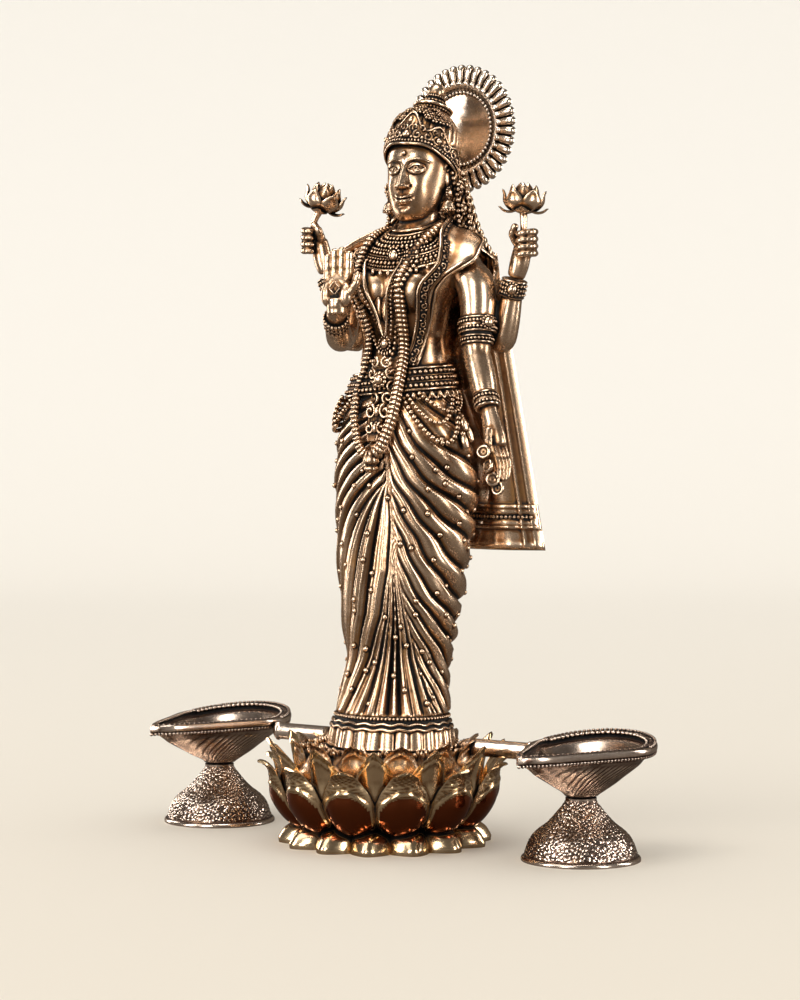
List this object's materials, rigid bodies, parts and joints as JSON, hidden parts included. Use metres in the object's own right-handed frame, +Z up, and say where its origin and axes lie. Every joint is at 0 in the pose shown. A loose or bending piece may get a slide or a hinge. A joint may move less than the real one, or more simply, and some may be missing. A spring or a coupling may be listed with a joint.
{
  "type": "standing goddess figure on a lotus base with oil lamps",
  "caption": "Cast brass goddess standing on a lotus, hands raised with flowers, halo behind the crown, an oil lamp on a bell foot at each side.",
  "frame": {"origin": "centre of the lotus base's flat underside on the ground", "axes": "+Z up, the figure faces -Y, +X towards its left hand side"},
  "size_m": [0.2562, 0.113, 0.3533],
  "materials": {
    "lotus_brass": "polished golden brass with dark lines between the petals",
    "figure_brass": "antique brass, dark in the hollows and polished bright on the high spots",
    "lamp_brass": "antique brass, darker and browner, with a worked ground"
  },
  "bodies": {
    "root": {"lotus_base": "lotus_brass", "figure": "figure_brass", "halo": "figure_brass", "lamp_foot_left": "lamp_brass", "lamp_foot_right": "lamp_brass", "lamp_bowl_left": "lamp_brass", "lamp_bowl_right": "lamp_brass"}
  },
  "joints": []
}
